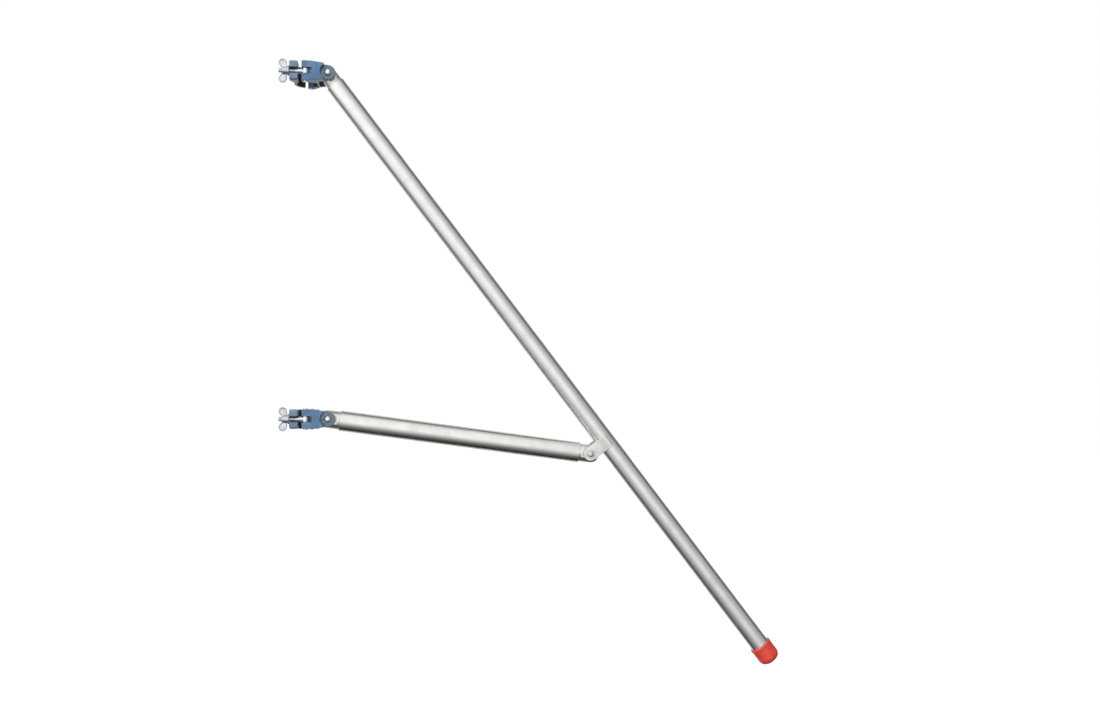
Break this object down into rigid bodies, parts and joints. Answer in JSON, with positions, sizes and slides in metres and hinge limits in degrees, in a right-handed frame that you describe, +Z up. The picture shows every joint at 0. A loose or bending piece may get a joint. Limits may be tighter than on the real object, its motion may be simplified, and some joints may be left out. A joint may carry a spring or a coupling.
{
  "type": "tube stabilizer",
  "caption": "Long leg with a rubber foot and a hinged brace, each ending in a hinged tube clamp that grips a ladder or tower upright.",
  "frame": {"origin": "centre of the upper clamp's bore, on the axis of the upright that it grips", "axes": "+Z up along the upright, +X from the upright towards the foot, +Y towards the back; the bolts face the front"},
  "size_m": [1.2603, 0.0935, 1.5129],
  "materials": {
    "blue_paint": "satin blue paint",
    "zinc_steel": "bright zinc plate",
    "zinc_casting": "zinc-plated casting",
    "dark_steel": "blackened",
    "tube_aluminium": "drawn, fine lengthwise lines",
    "cast_aluminium": "cast and tumbled",
    "plate_aluminium": "mill finish",
    "rivet_aluminium": "as made",
    "weld_aluminium": "as welded",
    "nylon": "matt",
    "red_rubber": "matt moulded"
  },
  "bodies": {
    "upper_clamp": {"upper_saddle": "blue_paint", "upper_hinge_pin": "zinc_steel", "upper_eye_pin": "zinc_steel", "upper_pivot_bolt": "zinc_steel", "upper_pivot_washers": "dark_steel", "upper_pivot_nut": "zinc_steel"},
    "upper_flap": {"upper_flap": "blue_paint"},
    "upper_swing_bolt": {"upper_eye_bolt": "zinc_steel"},
    "upper_washer": {"upper_seat_washer": "zinc_steel"},
    "upper_wing_nut": {"upper_wing_nut": "zinc_casting"},
    "main_leg": {"leg_tube": "tube_aluminium", "leg_fitting": "cast_aluminium", "leg_rivets": "rivet_aluminium", "leg_spacers": "nylon", "front_ear": "plate_aluminium", "rear_ear": "plate_aluminium", "ear_welds": "weld_aluminium", "brace_pivot_bolt": "zinc_steel", "brace_pivot_washers": "zinc_steel", "brace_pivot_nut": "zinc_steel", "foot_cap": "red_rubber", "foot_disc": "zinc_steel"},
    "brace": {"brace_tube": "tube_aluminium", "brace_inner_fitting": "cast_aluminium", "brace_outer_fitting": "cast_aluminium", "brace_rivets": "rivet_aluminium", "brace_inner_spacers": "nylon", "brace_outer_spacers": "nylon"},
    "lower_clamp": {"lower_saddle": "blue_paint", "lower_hinge_pin": "zinc_steel", "lower_eye_pin": "zinc_steel", "lower_pivot_bolt": "zinc_steel", "lower_pivot_washers": "dark_steel", "lower_pivot_nut": "zinc_steel"},
    "lower_flap": {"lower_flap": "blue_paint"},
    "lower_swing_bolt": {"lower_eye_bolt": "zinc_steel"},
    "lower_washer": {"lower_seat_washer": "zinc_steel"},
    "lower_wing_nut": {"lower_wing_nut": "zinc_casting"}
  },
  "joints": [
    {"name": "leg_pivot", "type": "hinge", "parent": "upper_clamp", "child": "main_leg", "pos_m": [0.052, 0, 0], "axis": [0, 1, 0], "range_deg": [-142.6, 37.4]},
    {"name": "brace_pivot", "type": "hinge", "parent": "main_leg", "child": "brace", "pos_m": [0.70413, 0, -0.94021], "axis": [0, 1, 0], "range_deg": [-120, 45]},
    {"name": "lower_clamp_pivot", "type": "hinge", "parent": "brace", "child": "lower_clamp", "pos_m": [0.052, 0, -0.85249], "axis": [0, -1, 0], "range_deg": [-97.5, 82.4]},
    {"name": "upper_bolt_swing", "type": "hinge", "parent": "upper_clamp", "child": "upper_swing_bolt", "pos_m": [-0.0015, -0.036, 0], "axis": [0, 0, 1], "range_deg": [0, 110]},
    {"name": "upper_nut_travel", "type": "slide", "parent": "upper_swing_bolt", "child": "upper_washer", "axis": [-1, 0, 0], "range_m": [0, 0.01226]},
    {"name": "upper_wing_nut_spin", "type": "hinge", "parent": "upper_washer", "child": "upper_wing_nut", "pos_m": [-0.0436, -0.036, 0], "axis": [-1, 0, 0], "range_deg": [0, 2520]},
    {"name": "upper_flap_open", "type": "hinge", "parent": "upper_clamp", "child": "upper_flap", "pos_m": [0.007, 0.035, 0], "axis": [0, 0, -1], "range_deg": [0, 9.5]},
    {"name": "lower_bolt_swing", "type": "hinge", "parent": "lower_clamp", "child": "lower_swing_bolt", "pos_m": [-0.0015, -0.036, -0.85249], "axis": [0, 0, 1], "range_deg": [0, 110]},
    {"name": "lower_nut_travel", "type": "slide", "parent": "lower_swing_bolt", "child": "lower_washer", "axis": [-1, 0, 0], "range_m": [0, 0.01226]},
    {"name": "lower_wing_nut_spin", "type": "hinge", "parent": "lower_washer", "child": "lower_wing_nut", "pos_m": [-0.0436, -0.036, -0.85249], "axis": [-1, 0, 0], "range_deg": [0, 2520]},
    {"name": "lower_flap_open", "type": "hinge", "parent": "lower_clamp", "child": "lower_flap", "pos_m": [0.007, 0.035, -0.85249], "axis": [0, 0, -1], "range_deg": [0, 9.5]}
  ],
  "couplings": [
    {"joint": "upper_nut_travel", "follows": "upper_wing_nut_spin", "m_per_rad": 0.00027852},
    {"joint": "upper_flap_open", "follows": "upper_wing_nut_spin", "ratio": 0.0037638},
    {"joint": "lower_nut_travel", "follows": "lower_wing_nut_spin", "m_per_rad": 0.00027852},
    {"joint": "lower_flap_open", "follows": "lower_wing_nut_spin", "ratio": 0.0037638}
  ]
}
